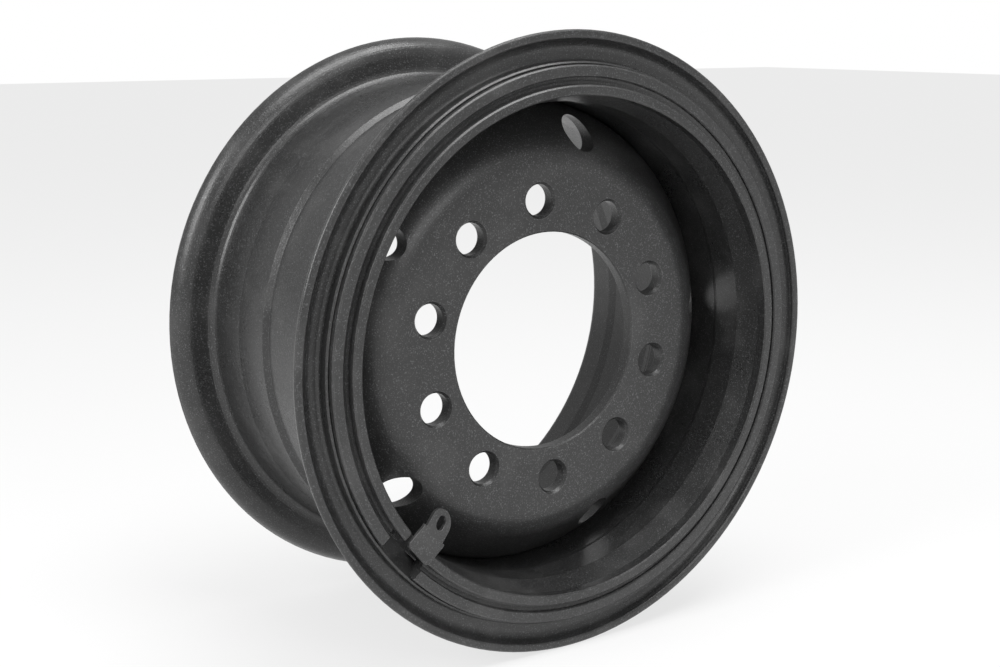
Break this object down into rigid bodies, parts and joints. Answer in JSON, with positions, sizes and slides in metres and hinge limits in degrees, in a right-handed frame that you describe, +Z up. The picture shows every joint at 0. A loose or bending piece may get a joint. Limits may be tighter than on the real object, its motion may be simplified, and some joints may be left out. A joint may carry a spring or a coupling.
{
  "type": "truck wheel",
  "caption": "Multi-piece steel truck wheel for a tube-type tyre: deep rim base with a fixed flange, loose side ring, split lock ring, stamped disc with ball-seat stud holes and hand holes.",
  "frame": {"origin": "centre of the stud circle on the face that sits on the hub, on the wheel's axis", "axes": "+Y along the wheel's axis towards the hub side and the fixed flange, +Z up; the lock-ring side looks along -Y"},
  "size_m": [0.6179, 0.3095, 0.618],
  "materials": {
    "rim_paint": "semi-gloss black paint",
    "disc_paint": "semi-gloss black paint",
    "weld_paint": "semi-gloss black paint over a weld bead",
    "side_ring_paint": "semi-gloss black paint",
    "lock_ring_paint": "semi-gloss black paint",
    "bracket_paint": "semi-gloss black paint"
  },
  "bodies": {
    "root": {"rim_base": "rim_paint", "disc": "disc_paint", "disc_weld": "weld_paint", "side_ring": "side_ring_paint", "lock_ring": "lock_ring_paint", "valve_bracket": "bracket_paint"}
  },
  "joints": []
}
